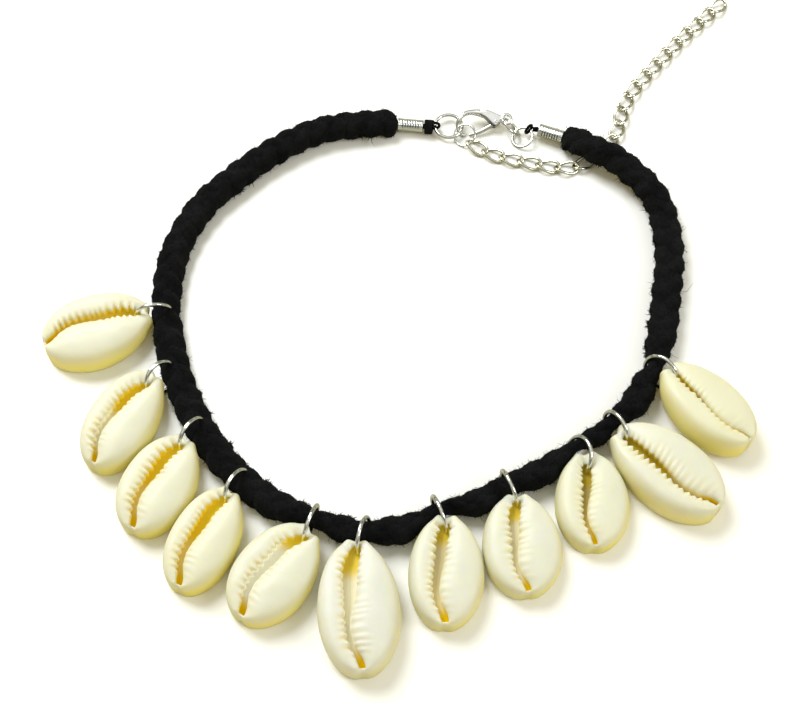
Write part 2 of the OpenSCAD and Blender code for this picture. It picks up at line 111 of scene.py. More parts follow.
# Inside of a shell under its slit, from the wall's underside to the slit's middle line and back up to
# its edge: share of the way to the middle line, distance outwards, share of the height
UNDER_SLIT = [[0, 1.1, 0.5], [0.3, 0.4, 0.4], [1, 0, 0.33], [1.35, 0, 0.38], [0.95, 0, 0.45],
              [0.3, 0.3, 0.49], [0, 0.6, 0.56], [0, 0.32, 0.63]]
SHELL_HIGH, SHELL_WALL, RIM_LIFT = 0.3, 1.3, 2.6
TOOTH_POINT, TOOTH_SPAN, BROAD_RELIEF = 0.97, 2.66, 2.6

# One row a ring: x, y, heading, lean, reach to the shell's outside, and how far the cord closes over it
RINGS = [
    [-50.2, 7.6, 12, 6.7, -0.7, 0.9], [-47.5, -7.45, 51, -20, 0.1, 1], [-40.4, -19.9, 57, -9, -1.1, 1],
    [-31, -30.9, 60, -14, -1.1, 1], [-16.7, -38.2, 69, 2.6, -0.6, 0.2], [-6.7, -40.8, 75, -9, -1.3, 0.2],
    [7.6, -36.4, 111, 0, -0.4, 0.2], [21.1, -31.1, 112, -4, -1.4, 0.2], [34.8, -24, 104, 31, 0.5, 0.1],
    [42.3, -18.6, 119, 11, -0.3, 0.2], [52.2, -6.1, 137, 20.5, -0.5, 0.1],
]
RING_R, RING_WIRE, RING_LIFT, RING_CLEAR = 3.6, 0.8, 0.03, 0.3

CORD_W, CORD_H, PLAIT_PITCH, TAIL_R = 6.2, 5.0, 13.2, 0.95
STRAND_R = 0.365 * CORD_W
PLAIT_ACROSS, PLAIT_UP = 1.03 * CORD_W / 2 - STRAND_R, 1.02 * CORD_H / 2 - STRAND_R
TAIL_LEN, END_ROUNDING, CORD_STEP = 2.15, 1.9, 1.25
# Height of the cord where a ring pinches it, and how far along it the pinch and each side of a ring tell
PINCH_HIGH, PINCH_REACH, INNER_REACH, OUTER_REACH = 3.6, 2.6, 2.4, 5.8
TUFT_FIBRES, FUZZ_WIDTH = 30, 0.1

SLEEVE_LEN, SLEEVE_R, SLEEVE_COILS, SLEEVE_WALL, RIB_DEPTH = 5.6, 1.45, 8, 0.38, 0.16
# One row an end: name, sleeve's start and heading, angle of the painted shade in its rib grooves, loop's
# middle and heading
CORD_ENDS = [
    ("left", np.array([-0.2, 56.9, 1.8]), -5.7, 118, np.array([7.95, 56.9, 1.44]), 0),
    ("right", np.array([36.2, 53.2, 2.1]), 159, 25, np.array([28.75, 55.35, 2.2]), 46),
]
LOOP_YARN, STEM_YARN, WRAP_YARN, YARN_TWIST = 0.33, 0.58, 0.38, 1.1
WRAP_R, WRAP_TURNS, WRAP_FROM, WRAP_LEN = 1.27, 4.2, 0.3, 1.5

PIVOT, CLASP_TILT = np.array([21.5, 57.5, 1.75]), 23
# Middle line and radius of the hook and of the lever, measured from the pivot in the clasp's own plane
CLASP_ROUTE = [
    [-6.75, -2.75, -0.25, 0.26], [-7.3, -2.8, -0.3, 0.34], [-8, -2.25, -0.5, 0.4], [-8.4, -1, -0.25, 0.44],
    [-8.2, 0.4, 0.35, 0.48], [-7.4, 1.5, 0.4, 0.5], [-6.3, 2.1, 0.2, 0.55], [-4.9, 2.3, 0, 0.65],
    [-3.3, 2.1, 0, 0.85], [-1.8, 1.7, 0, 0.95], [-0.3, 1.2, 0, 0.85], [1.3, 0.85, 0, 0.5],
]
LEVER_ROUTE = [
    [-0.51, -0.33, 0, 0.48], [-1.7, -1.1, 0, 0.52], [-3.4, -2, 0, 0.5], [-4.9, -2.5, -0.1, 0.4],
    [-6, -2.75, -0.2, 0.3],
]
CHEEK_OUTLINE = [
    [-3.9, 2.2], [-3.2, 2.75], [-1.8, 2.62], [-0.6, 2.15], [0.5, 1.65], [1.35, 1.15], [1.45, 0.6], [0.9, -0.2],
    [0.2, -0.95], [-0.45, -1.05], [-1.0, -0.6], [-1.7, 0.35], [-2.6, 1.15], [-3.5, 1.6],
]
CHEEK_MIDDLE = np.array([-0.9, 1.0])
# Share of the way from the cheek's middle to its outline, and distance from the clasp's plane
CHEEK_DOME = [(0.2, 0.65), (0.8, 0.65), (0.96, 0.66), (1.0, 0.76), (0.99, 0.9), (0.93, 1.01), (0.8, 1.08),
              (0.5, 1.13), (0.15, 1.15)]
# Line along the cheek's inner edge that gets painted shadow: its start and its run
PAINTED_SHADOW_START, PAINTED_SHADOW_RUN = np.array([-3.7, 1.75]), np.array([3.3, -2.75])
TAIL_EYE, TAIL_EYE_R, TAIL_EYE_WIRE = np.array([2.35, 0.75, 0]), 1.05, 0.8
PIN_R, PIN_HALF, LEVER_EYE_R, LEVER_HOLE_R, LEVER_EYE_HALF = 0.4, 1.15, 0.8, 0.46, 0.55
# One row a ring at the clasp: piece, CAD node, radius, wire, tilt, heading, middle
CLASP_RINGS = [
    ("large_ring", "clasp_ring", 3.0, 0.7, 3, 0, [11.05, 56.8, 1.35]),
    ("jump_ring_1", "clasp_link_1", 2.3, 0.6, 130, -65, [24.82, 56.1, 2.1]),
    ("jump_ring_2", "clasp_link_2", 2.3, 0.6, 25, -65, [27.32, 53.8, 1.3]),
    ("small_ring", "extender_ring", 2.4, 0.45, 30, -46.4, [14.56, 54.24, 1.5]),
]

CHAIN_ROUTE = [
    [15.1, 53.2, 1.1], [16.1, 52.3, 1], [17.9, 50.9, 0.9], [21.5, 49.1, 0.85], [25.4, 47.9, 0.85],
    [29.3, 47, 0.85], [33.4, 46.1, 0.85], [37.7, 45.9, 0.85], [42.3, 48, 0.85], [46.4, 52, 0.85],
    [49, 57.2, 0.85], [50.3, 62, 0.85], [53, 67.3, 0.85], [58.6, 74.4, 0.85], [65.4, 82.4, 0.85],
    [72.4, 89.6, 0.85], [80.6, 97.4, 0.85], [88, 104.5, 0.85],
]
CHAIN_START, CHAIN_PITCH, CHAIN_LINKS = 2.8, 4.1, 21
CHAIN_HALF_LEN, CHAIN_HALF_W, CHAIN_SADDLE, CHAIN_WIRE = 2.55, 1.4, 0.5, 0.62

CAMERA_PLACE, CAMERA_DOWN, FLOOR_HALF = np.array([0, -131.5, 247.2]), 62, 3.0
DAYLIGHT = (0.96, 0.98, 1.0)
# Brightness of the room by height: as the light that falls on the choker, and as its metal mirrors it
DOME = [(0.0, (2.3, 1.65, 0.25)), (0.22, (2.0, 1.5, 0.35)), (0.48, (1.0, 0.95, 0.68)),
        (0.8, (0.93, 0.93, 0.82))]
BANDS = [(0.0, (0.5, 0.48, 0.3)), (0.14, (0.3, 0.3, 0.18)), (0.26, (0.7, 0.7, 0.55)), (0.4, (1.3, 1.3, 1.15)),
         (0.5, (0.7, 0.7, 0.55)), (0.6, (0.22, 0.22, 0.15)), (0.8, (0.5, 0.5, 0.4)), (0.95, (1.6, 1.6, 1.55))]

# -------- settings


def a_length(name, description, default):
    return FloatProperty(name=name, description=description, default=default, min=MM / 100, unit="LENGTH")


def a_colour(name, description, default):
    return FloatVectorProperty(name=name, description=description, default=default, subtype="COLOR")


def mm(metres):
    return round(metres / MM, 4)


# -------- geometry


def bell(d, reach):
    return np.exp(-(d / reach) ** 2)


def smooth(t):
    u = np.clip(t, 0, 1)
    return u * u * (3 - 2 * u)


def unit(v):
    return v / np.linalg.norm(v, axis=-1, keepdims=True)


def angles(count):
    return np.linspace(0, 2 * np.pi, count, endpoint=False)


def turn(p, axis, a):
    """Points turned by a degrees about X, Y or Z, which are 0, 1 and 2."""
    c, s = math.cos(math.radians(a)), math.sin(math.radians(a))
    j, k = (axis + 1) % 3, (axis + 2) % 3
    out = np.array(p, float)
    out[..., j], out[..., k] = c * p[..., j] - s * p[..., k], s * p[..., j] + c * p[..., k]
    return out


def turn_x(p, a):
    return turn(p, 0, a)


def turn_z(p, a):
    return turn(p, 2, a)


def on_clasp(p):
    return turn_x(p, CLASP_TILT) + PIVOT


def curve(rows, steps):
    """The CAD's smooth curve through rows of numbers."""
    rows = np.array(rows, float)
    last = len(rows) - 1
    out = []
    for i in range(last):
        a, b = rows[max(i - 1, 0)], rows[i]
        c, d = rows[i + 1], rows[min(i + 2, last)]
        for t in np.arange(steps) / steps:
            out.append(0.5 * (2 * b + (c - a) * t + (2 * a - 5 * b + 4 * c - d) * t * t
                              + (3 * b - a - 3 * c + d) * t ** 3))
    out.append(rows[last])
    return np.array(out)


def distances(pts):
    """Distance along a line of points, at each of them."""
    return np.r_[0, np.cumsum(np.linalg.norm(np.diff(pts, axis=0), axis=1))]


def spline(points, n):
    """Even samples of a smooth curve through points."""
    pts = curve(points, 12)
    d = distances(pts)
    s = np.linspace(0, d[-1], n)
    return np.stack([np.interp(s, d, pts[:, j]) for j in range(pts.shape[1])], -1)


class Path:
    """Points by distance along a curve."""

    def __init__(self, rows, steps):
        self.pts = curve(rows, steps)
        self.dist = distances(self.pts)
        self.length = self.dist[-1]

    def at(self, s):
        return np.stack([np.interp(s, self.dist, self.pts[:, j]) for j in range(3)], -1)

    def heading(self, s, reach=0.4):
        return unit(self.at(s + reach) - self.at(s - reach))

    def inward(self, s):
        t = self.heading(s, 1.2)
        return unit(np.stack([-t[..., 1], t[..., 0], 0 * t[..., 0]], -1))


def around(path, r, sides, closed=False, up=(0, 0, 1)):
    """Rounds of points at the distance r from the points of path."""
    if closed:
        t = unit(np.roll(path, -1, 0) - np.roll(path, 1, 0))
    else:
        t = unit(np.gradient(path, axis=0))
    across = unit(np.cross(np.array(up, float), t))
    rise = np.cross(t, across)
    a = angles(sides)[None, :, None]
    r = np.broadcast_to(r, (len(path), sides))[..., None]
    return path[:, None] + r * (np.cos(a) * across[:, None] + np.sin(a) * rise[:, None])


def turned(rows, sides):
    """Rounds of points of a section turned about Z, a radius and a height a row."""
    a = angles(sides)
    return np.array([np.stack([r * np.cos(a), r * np.sin(a), 0 * a + z], -1) for r, z in rows])


def ring_grid(r, wire, n, sides):
    """Torus round Z at the origin."""
    a, b = angles(n)[:, None], angles(sides)[None]
    rho = r + wire / 2 * np.cos(b)
    return np.stack([rho * np.cos(a), rho * np.sin(a), wire / 2 * np.sin(b) + 0 * a], -1)


def noise1(x, seed, scale):
    """Smooth wandering value between -1 and 1."""
    rng = np.random.default_rng(seed)
    table = rng.uniform(-1, 1, 512)
    u = np.asarray(x, float) / scale + 100
    i = np.floor(u).astype(int)
    f = smooth(u - i)
    return table[i % 512] * (1 - f) + table[(i + 1) % 512] * f


class Builder:
    """Collects grids of points into one mesh, with per-point masks."""

    def __init__(self):
        self.verts, self.faces, self.masks, self.count = [], [], {}, 0

    def grid(self, pts, wrap_u=False, caps=False, flip=False, move=None, **masks):
        """Adds rounds of points as a tube of faces, moved by move, and a value a point for each mask."""
        nu, nv = pts.shape[:2]
        ids = self.count + np.arange(nu * nv).reshape(nu, nv)
        u0 = ids if wrap_u else ids[:-1]
        u1 = np.roll(ids, -1, 0) if wrap_u else ids[1:]
        quads = np.stack([u0, np.roll(u0, -1, 1), np.roll(u1, -1, 1), u1], -1).reshape(-1, 4)
        if flip:
            quads = quads[:, ::-1]
        self.faces.extend(quads.tolist())
        if caps:
            first, last = ids[0].tolist(), ids[-1].tolist()
            self.faces.append(first if flip else first[::-1])
            self.faces.append(last[::-1] if flip else last)
        self.verts.append((move(pts) if move else pts).reshape(-1, 3))
        for name in set(self.masks) | set(masks):
            value = np.broadcast_to(masks.get(name, 0.0), (nu, nv)).reshape(-1)
            self.masks.setdefault(name, [np.zeros(self.count)]).append(value)
        self.count += nu * nv

    def make(self, name, material, nodes, body=BODY, slot="silver", smooth_faces=True):
        """The finished piece, riding on its body in place of its CAD nodes."""
        verts = (np.concatenate(self.verts) + SET_OUT) * MM
        mesh = bpy.data.meshes.new(name)
        mesh.from_pydata(verts.tolist(), [], self.faces)
        for key, values in self.masks.items():
            layer = mesh.attributes.new(key, "FLOAT", "POINT")
            layer.data.foreach_set("value", np.concatenate(values).astype(np.float32))
        if smooth_faces:
            mesh.shade_smooth()
        mesh.materials.append(material)
        mesh.update()
        obj = bpy.data.objects.new(name, mesh)
        bpy.context.scene.collection.objects.link(obj)
        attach(obj, body)
        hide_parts(*nodes)
        return obj


# -------- materials


def fill(tree, node, inputs):
    """Links the node's inputs to sockets or fills them with values."""
    for key, source in inputs.items():
        if isinstance(source, bpy.types.NodeSocket):
            tree.links.new(source, node.inputs[key])
        else:
            node.inputs[key].default_value = source


def add(tree, kind, inputs=None, **values):
    """A node with its properties set and its inputs linked or filled."""
    node = tree.nodes.new(kind)
    for key, value in values.items():
        setattr(node, key, value)
    fill(tree, node, inputs or {})
    return node


def mask(tree, name):
    return add(tree, "ShaderNodeAttribute", attribute_name=name).outputs["Fac"]


def noise(tree, place, scale, detail, roughness=0.5):
    return add(tree, "ShaderNodeTexNoise", {
        "Vector": place, "Scale": scale, "Detail": detail, "Roughness": roughness}).outputs["Fac"]


def ramp(tree, fac, stops):
    node = add(tree, "ShaderNodeValToRGB", {"Fac": fac})
    elements = node.color_ramp.elements
    while len(elements) < len(stops):
        elements.new(0.5)
    for element, (place, colour) in zip(elements, stops):
        element.position = place
        element.color = (*colour, 1)
    return node.outputs["Color"]


def mix_rgb(tree, fac, a, b):
    a, b = (v if isinstance(v, bpy.types.NodeSocket) else (*v, 1) for v in (a, b))
    return add(tree, "ShaderNodeMix", {0: fac, 6: a, 7: b}, data_type="RGBA").outputs[2]


def maths(tree, kind, a, b):
    return add(tree, "ShaderNodeMath", {0: a, 1: b}, operation=kind).outputs[0]


def grain_group():
    """Fine uneven surface: a mask of blotches and a bumped normal."""
    if "Grain" in bpy.data.node_groups:
        return bpy.data.node_groups["Grain"]
    group = bpy.data.node_groups.new("Grain", "ShaderNodeTree")
    for label, kind, value in (
        ("Scale", "NodeSocketFloat", 800.0), ("Roughness", "NodeSocketFloat", 0.6),
        ("Strength", "NodeSocketFloat", 0.2), ("Distance", "NodeSocketFloat", 0.0001),
        ("Normal", "NodeSocketVector", (0, 0, 0)),
    ):
        group.interface.new_socket(name=label, in_out="INPUT", socket_type=kind).default_value = value
    for label, kind in (("Mask", "NodeSocketFloat"), ("Normal", "NodeSocketVector")):
        group.interface.new_socket(name=label, in_out="OUTPUT", socket_type=kind)
    given, out = group.nodes.new("NodeGroupInput").outputs, group.nodes.new("NodeGroupOutput")
    place = add(group, "ShaderNodeTexCoord")
    blotches = noise(group, place.outputs["Object"], given["Scale"], 5.0, given["Roughness"])
    bump = add(group, "ShaderNodeBump", {
        "Strength": given["Strength"], "Distance": given["Distance"], "Height": blotches,
        "Normal": given["Normal"]})
    fill(group, out, {"Mask": blotches, "Normal": bump.outputs["Normal"]})
    return group


def grain(tree, scale, strength, distance, roughness=0.6):
    """The grain placed in a material with its own values; its mask and its normal."""
    node = add(tree, "ShaderNodeGroup", node_tree=grain_group())
    fill(tree, node, {"Scale": scale, "Strength": strength, "Distance": distance, "Roughness": roughness})
    return node.outputs["Mask"], node.outputs["Normal"]


def new_material(name):
    """The named material; its node tree and shader too where it is new and has to be made up."""
    material = bpy.data.materials.get(name)
    if material:
        return material, None, None
    material = bpy.data.materials.new(name)
    material.use_nodes = True
    return material, material.node_tree, material.node_tree.nodes["Principled BSDF"]


def shell_material(settings):
    """Bleached cowrie: ivory, yellowed on older shells, with painted shade between its ridges and yellow low
    on its sides that is partly painted glow; an amber inside with painted shade at its ring end and a painted
    glow; and light that soaks through.
    """
    material, tree, shader = new_material("bleached_shell")
    if tree is None:
        return material
    place = add(tree, "ShaderNodeTexCoord").outputs["Object"]
    blotch = noise(tree, place, 160.0, 4.0, 0.6)
    specks = noise(tree, place, 900.0, 3.0, 0.7)
    yellow = mask(tree, "yellow")
    body = ramp(tree, blotch, [(0.3, settings.ivory_worn), (0.7, settings.ivory)])
    body = mix_rgb(tree, maths(tree, "MULTIPLY", yellow, 0.9), body, settings.yellowed)
    # Yellow low on the sides: partly the shell's own yellowing, partly painted glow of light soaking through
    body = mix_rgb(tree, maths(tree, "MULTIPLY", mask(tree, "flank"), 0.95), body, settings.flank)
    # Painted shade in the folds between the ridges
    body = mix_rgb(tree, maths(tree, "MULTIPLY", mask(tree, "groove"), 0.8), body, settings.folds)
    fleck = ramp(tree, specks, [(0.66, (0, 0, 0)), (0.78, (1, 1, 1))])
    body = mix_rgb(tree, maths(tree, "MULTIPLY", fleck, 0.12), body, (0.78, 0.66, 0.4))
    deep = mix_rgb(tree, yellow, settings.amber, settings.amber_deep)
    deep = mix_rgb(tree, mask(tree, "through"), deep, (0.8, 0.79, 0.68))
    # Painted shade darkening the inside towards the slit's ring end
    deep = mix_rgb(tree, mask(tree, "shade"), deep, (0.16, 0.11, 0.015))
    deep = mix_rgb(tree, mask(tree, "notch"), deep, (0.7, 0.51, 0.0))
    normal = grain(tree, 700.0, 0.22, 0.0001)[1]
    rough = add(tree, "ShaderNodeMapRange", {"Value": blotch, "To Min": 0.46, "To Max": 0.58})
    fill(tree, shader, {
        "Base Color": body, "Normal": normal, "Roughness": rough.outputs["Result"], "IOR": 1.5,
        "Subsurface Weight": 0.55, "Subsurface Radius": (1.0, 0.72, 0.16), "Subsurface Scale": 0.0032,
        "Coat Weight": 0.12, "Coat Roughness": 0.3})
    # Its emission is a painted glow of light soaking through the shell
    inner = add(tree, "ShaderNodeBsdfPrincipled", {
        "Base Color": deep, "Normal": normal, "Roughness": 0.6, "Specular IOR Level": 0.1,
        "Subsurface Weight": 0.2, "Subsurface Radius": (1.0, 0.8, 0.1), "Subsurface Scale": 0.0015,
        "Emission Color": deep, "Emission Strength": 0.16})
    both = add(tree, "ShaderNodeMixShader", {
        0: mask(tree, "inside"), 1: shader.outputs["BSDF"], 2: inner.outputs["BSDF"]})
    fill(tree, tree.nodes["Material Output"], {"Surface": both.outputs["Shader"]})
    return material


def cord_material(settings, name="black_yarn", fuzz=False):
    """Black cotton: nearly no gloss, a soft sheen and broken fibre."""
    material, tree, shader = new_material(name)
    if tree is None:
        return material
    place = add(tree, "ShaderNodeTexCoord").outputs["Object"]
    fibre = noise(tree, place, 2600.0, 4.0, 0.75)
    patch = noise(tree, place, 260.0, 3.0)
    tone = maths(tree, "MULTIPLY", fibre, patch)
    colour = ramp(tree, tone, [(0.12, settings.yarn_shade), (0.42, settings.yarn)])
    if not fuzz:
        fill(tree, shader, {"Normal": grain(tree, 3200.0, 0.9, 0.00022, 0.8)[1]})
    fill(tree, shader, {
        "Base Color": colour, "Roughness": 0.95, "Specular IOR Level": 0.04, "Sheen Weight": 0.03,
        "Sheen Roughness": 0.6, "Sheen Tint": (0.5, 0.5, 0.55, 1)})
    return material


def metal_material(name, worn, plate):
    """Bright silver plate with faint wear, and near-black painted shade where its mask of painted shade says
    so.
    """
    material, tree, shader = new_material(name)
    if tree is None:
        return material
    wear, normal = grain(tree, 1400.0, 0.1, 0.00005)
    colour = ramp(tree, wear, [(0.3, worn), (0.6, plate)])
    # Painted shade: near black where the mask says so
    colour = mix_rgb(tree, mask(tree, "tarnish"), colour, (0.015, 0.015, 0.01))
    rough = add(tree, "ShaderNodeMapRange", {
        "Value": wear, "From Min": 0.3, "From Max": 0.7, "To Min": 0.08, "To Max": 0.18})
    fill(tree, shader, {
        "Base Color": colour, "Roughness": rough.outputs["Result"], "Normal": normal, "Metallic": 1.0})
    return material


def silver_material(settings):
    return metal_material("silver_plate", settings.plate_worn, settings.plate)


# A lighter copy of the silver: painted light on the faces of the clasp body and the sleeves
def lit_silver_material(settings):
    return metal_material("lit_silver_plate", settings.lit_silver_worn, settings.bright)


def floor_material():
    """White laminate under the choker, faintly glossy."""
    material, tree, shader = new_material("white_table")
    if tree is None:
        return material
    wear, normal = grain(tree, 90.0, 0.02, 0.0002)
    colour = ramp(tree, wear, [(0.3, (0.9, 0.905, 0.9)), (0.7, (0.92, 0.92, 0.92))])
    path = add(tree, "ShaderNodeLightPath")
    # Painted reflection: glossy rays see the table as a darker olive, so metal mirrors it as shade
    colour = mix_rgb(tree, path.outputs["Is Glossy Ray"], colour, (0.33, 0.33, 0.25))
    fill(tree, shader, {"Base Color": colour, "Normal": normal, "Roughness": 0.3, "Specular IOR Level": 0.35})
    return material


# -------- shells


def shell_grid(row, looks, settings, seed):
    """Points of a shell, from its slit over the lips, back inside and up under the slit, and its masks."""
    x0, y0, tail, length, width, roll, start, side_at, openness = row
    folds, yellow, teeth, narrow, through, clear_from, ring_end_shade = looks
    n = settings.stations
    k = 2 * np.pi * np.arange(n) / n
    a = (k - math.radians(11) * np.sin(k))[:, None]
    left = np.sin(a) < 0
    edge_on = np.abs(np.sin(a))

    # Outline, with a bump at the ring's end and a notch where the canal leaves at the tail
    ring_side = math.asin(2 * side_at / width)
    side = np.where(a > np.pi, a - 2 * np.pi, a)
    off = np.degrees(np.abs(side - ring_side))
    canal = bell(180 - np.degrees(np.abs(side)), 7)
    half = width / 2 * np.where(side > 0, 1.04, 0.96)
    out = np.stack([
        length / 2 * (1 - np.cos(a)) - 0.5 * bell(off - 15, 7) + 0.4 * bell(off, 6) - 0.3 * canal,
        half * np.sin(a) * (1 - 0.06 * np.cos(a)),
    ], -1)

    # Slit along the shell and its width
    sx = start + (0.96 * length - start) * (1 - np.cos(a)) / 2
    share = sx / length
    to_ring = np.maximum(0, 1 - (sx - start) / (0.25 * length)) ** 2
    middle = length * np.interp(share, *SLIT_MIDDLE.T)
    middle = middle + to_ring * (side_at - middle)
    closing = (1 - narrow * bell(share - 0.68, 0.2)) * (1 - 0.6 * narrow * smooth((share - 0.75) / 0.12))
    room = openness * length * np.interp(share, *SLIT_HALF.T) * closing + to_ring * 0.3
    ease = np.where(share < 0.5, 0.4, 0.12)
    half_slit = np.maximum(room * edge_on ** ease, 0.16 * edge_on ** 0.2)
    slit = np.stack([sx, middle + np.where(left, -half_slit, half_slit)], -1)

    # Teeth: pointed ridges across the lips, unevenly spaced, which bite into the slit
    wander = 0.35 * noise1(sx, seed, 3.1) + 0.12 * noise1(sx, seed + 1, 1.3)
    count = teeth * (sx - start) / (0.95 * length - start)
    phase = 2 * np.pi * (count + wander * np.where(left, 1, -1) + np.where(left, 0, 0.5))
    ridge = 0.5 + np.arcsin(TOOTH_POINT * np.cos(phase)) / TOOTH_SPAN
    ends = smooth((share - 0.06) / 0.08) * smooth((0.93 - share) / 0.1)
    upper = smooth((0.62 - share) / 0.25)
    uneven = ends * (0.8 + 0.3 * noise1(sx, seed + 5, 2.2))
    broad = np.maximum(upper * 0.6, folds * smooth((share - 0.3) / 0.2))
    strength = np.where(left, 1.0, 0.1 + 0.7 * broad) * uneven
    bite = mm(settings.tooth_reach) * np.where(left, 1.0, 0.06 + 0.4 * upper) * uneven
    bite = bite * (ridge - 0.5) * (1 - 0.6 * narrow)
    bite = np.minimum(bite * smooth(edge_on * 3), half_slit - 0.12 * edge_on ** 0.2)

    # Section from the slit over the lip to the rim and back inside
    w = np.linalg.norm(out - slit, axis=-1)
    wall = np.minimum(SHELL_WALL, 0.4 * w) / w
    section = np.concatenate([spline(OVER_LIP, settings.rows), spline(BACK_IN, settings.rows // 2)])
    rho, zeta, thin = section.T[:, None]
    outside = (np.arange(len(section)) < settings.rows)[None]
    base = RIM_LIFT * np.maximum(0, np.abs(np.cos((a - ring_side) / 2)) ** 6 - 0.1)
    top = SHELL_HIGH * length * (1 - 0.22 * np.abs(np.cos(a)) ** 3) * (1 - 0.12 * canal)
    reach = np.maximum(rho, 0) * w
    plan = slit + (out - slit) * (rho - thin * wall)[..., None]
    plan[..., 1] -= np.where(left, -1, 1) * bite * smooth(1.15 - np.abs(reach) / 1.7)

    # Ridges over the lip, strong at the slit and gone part of the way out
    run_out = np.where(left, mm(settings.left_run), 1.2 + 4 * folds * smooth((share - 0.25) / 0.2))
    run_out = run_out * (0.85 + 0.3 * noise1(sx, seed + 9, 1.7))
    fade = smooth(1 - reach / np.maximum(run_out, 0.5)) * outside * smooth((zeta - 0.6) / 0.2)
    relief = mm(settings.tooth_height) * np.where(left, 1, BROAD_RELIEF) * strength * (ridge - 0.5) * fade
    # A soft swell of the broad lip beside the slit and a faint waviness of the whole back
    swell = 0.25 * np.where(left, 0.4, 1.0) * bell(reach - 2.6, 2.2) * outside * smooth(edge_on * 2)
    lumps = 0.05 * noise1(np.degrees(a) + 40 * rho, seed + 3, 17) * outside
    lumps = lumps * np.sin(np.pi * np.clip(rho, 0, 1))
    z = np.maximum(base + (top - base) * zeta + relief + swell * (zeta > 0.5) + lumps, 0)
    pts = np.concatenate([plan, z[..., None]], -1)

    # Inside under the slit
    part = spline(UNDER_SLIT, settings.rows // 2)
    outward = ((out - slit) / w[..., None])[:, 0]
    room_out = np.minimum(1, 0.35 * w / 1.1)
    to_middle = np.concatenate([sx, middle], -1) - slit[:, 0]
    under = slit + part[None, :, :1] * to_middle[:, None]
    under = under + (part[:, 1] * room_out)[..., None] * outward[:, None]
    height = base + (top - base) * part[:, 2]
    facing = (height + height[-np.arange(n) % n]) / 2
    height = height + np.minimum(part[:, 0], 1) * (facing - height)
    pts = np.concatenate([pts, np.concatenate([under, height[..., None]], -1)], 1)

    heading = np.arctan2(outward[:, 1], outward[:, 0])[:, None]
    # Painted glow: the yellow low on the sides is strongest on the side facing the lower right, away from the
    # key light
    painted_glow_side = 0.45 + 0.55 * smooth(0.5 + 0.6 * np.cos(heading - math.radians(-50 - tail)))
    inside = np.where(outside, smooth((0.91 - zeta) / 0.06) * (rho < 0.3), 1.0)
    # Yellow low on the sides: partly the shell's own yellowing, partly painted glow of light soaking through
    flank = smooth((0.98 - zeta) / 0.55) * outside * (rho > 0.5) * painted_glow_side * min(1, 0.4 + yellow)
    # Painted shade in the folds between the ridges
    groove = np.clip((1 - ridge) * strength * np.where(left, 1, 0.8), 0, 1) * fade
    blank = np.zeros(height.shape)
    everywhere = np.ones(pts.shape[:2])
    masks = {name: np.concatenate([value * np.ones(z.shape), under_value], 1) for name, value, under_value in (
        ("groove", groove, blank), ("inside", inside, blank + 1), ("flank", flank, blank))}
    masks["notch"] = smooth((share - 0.78) / 0.12) * everywhere
    masks["through"] = through * smooth((share - clear_from) / 0.12) * everywhere
    # Painted shade over the inside towards the slit's ring end
    masks["shade"] = ring_end_shade * smooth((0.95 - share) / 0.7) * everywhere
    masks["yellow"] = yellow * everywhere
    lift = 0.49 * width * math.sin(math.radians(abs(roll)))
    return turn_z(turn_x(pts, roll), tail) + np.array([x0, y0, lift]), masks


class CHOKER_PG_shells(bpy.types.PropertyGroup):
    stations: IntProperty(name="Stations", description="Points round a shell's outline", default=264, min=72)
    rows: IntProperty(name="Rows", description="Points from the slit to the rim", default=34, min=12)
    tooth_reach: a_length("Tooth reach", "How far a tooth stands into the slit", 0.00085)
    tooth_height: a_length("Tooth height", "Height of the ridges on the lips", 0.00016)
    left_run: a_length("Ridge run", "Length of the narrow lip's ridges", 0.0024)
    ivory: a_colour("Ivory", "Colour of the bleached shell", (0.63, 0.65, 0.62))
    ivory_worn: a_colour("Ivory, worn", "Colour of its duller patches", (0.59, 0.61, 0.56))
    yellowed: a_colour("Yellowed", "Colour that older shells turn to", (0.63, 0.625, 0.43))
    # Yellow low on the sides: partly the shell's own yellowing, partly painted glow
    flank: a_colour("Flank", "Colour low on the shell's sides", (0.8, 0.7, 0.16))
    # Painted shade between the ridges
    folds: a_colour("Folds", "Colour between the ridges", (0.66, 0.56, 0.24))
    amber: a_colour("Inside", "Colour of the inside", (0.72, 0.57, 0.07))
    amber_deep: a_colour("Inside, yellow", "Colour inside the yellowest shells", (0.73, 0.54, 0.0))


class CHOKER_OT_shells(bpy.types.Operator):
    """Eleven cowrie shells with toothed slits"""

    bl_idname = "choker.shells"
    bl_label = "Cowrie Shells"

    def execute(self, context):
        settings = context.scene.choker_shells
        material = shell_material(settings)
        for i, (row, looks) in enumerate(zip(SHELLS, SHELL_LOOKS)):
            build = Builder()
            pts, masks = shell_grid(row, looks, settings, 40 + 7 * i)
            build.grid(pts, wrap_u=True, flip=True, **masks)
            build.make(f"cowrie_{i + 1:02d}", material, [f"shell_{i + 1:02d}"], slot="shell")
        return {"FINISHED"}


# -------- cord


